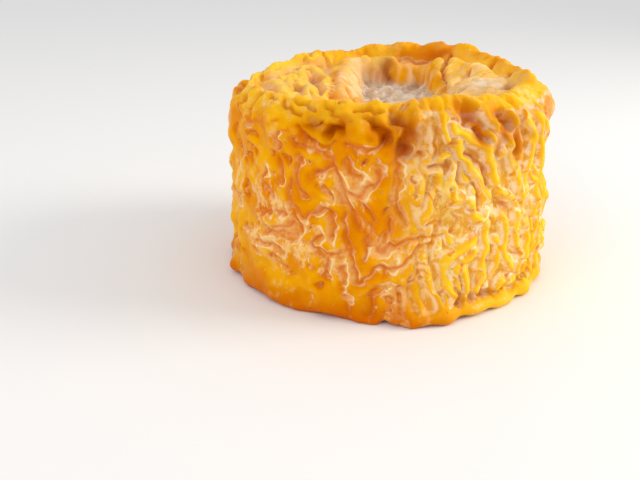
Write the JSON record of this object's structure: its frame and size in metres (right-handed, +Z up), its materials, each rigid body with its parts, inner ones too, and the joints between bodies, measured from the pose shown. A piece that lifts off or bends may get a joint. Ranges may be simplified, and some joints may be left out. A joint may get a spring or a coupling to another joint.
{
  "type": "langres cheese",
  "caption": "Whole washed-rind soft cheese: a squat drum with a deeply folded orange rind and a sunken top that can hold a little wine.",
  "frame": {"origin": "middle of the drum's box, on the surface that it stands on", "axes": "+Z up out of the sunken top; -Y towards the side shown in the picture; +X to that side's right"},
  "size_m": [0.0863, 0.089, 0.0545],
  "materials": {
    "rind": null
  },
  "bodies": {
    "root": {"cheese": "rind"}
  },
  "joints": []
}
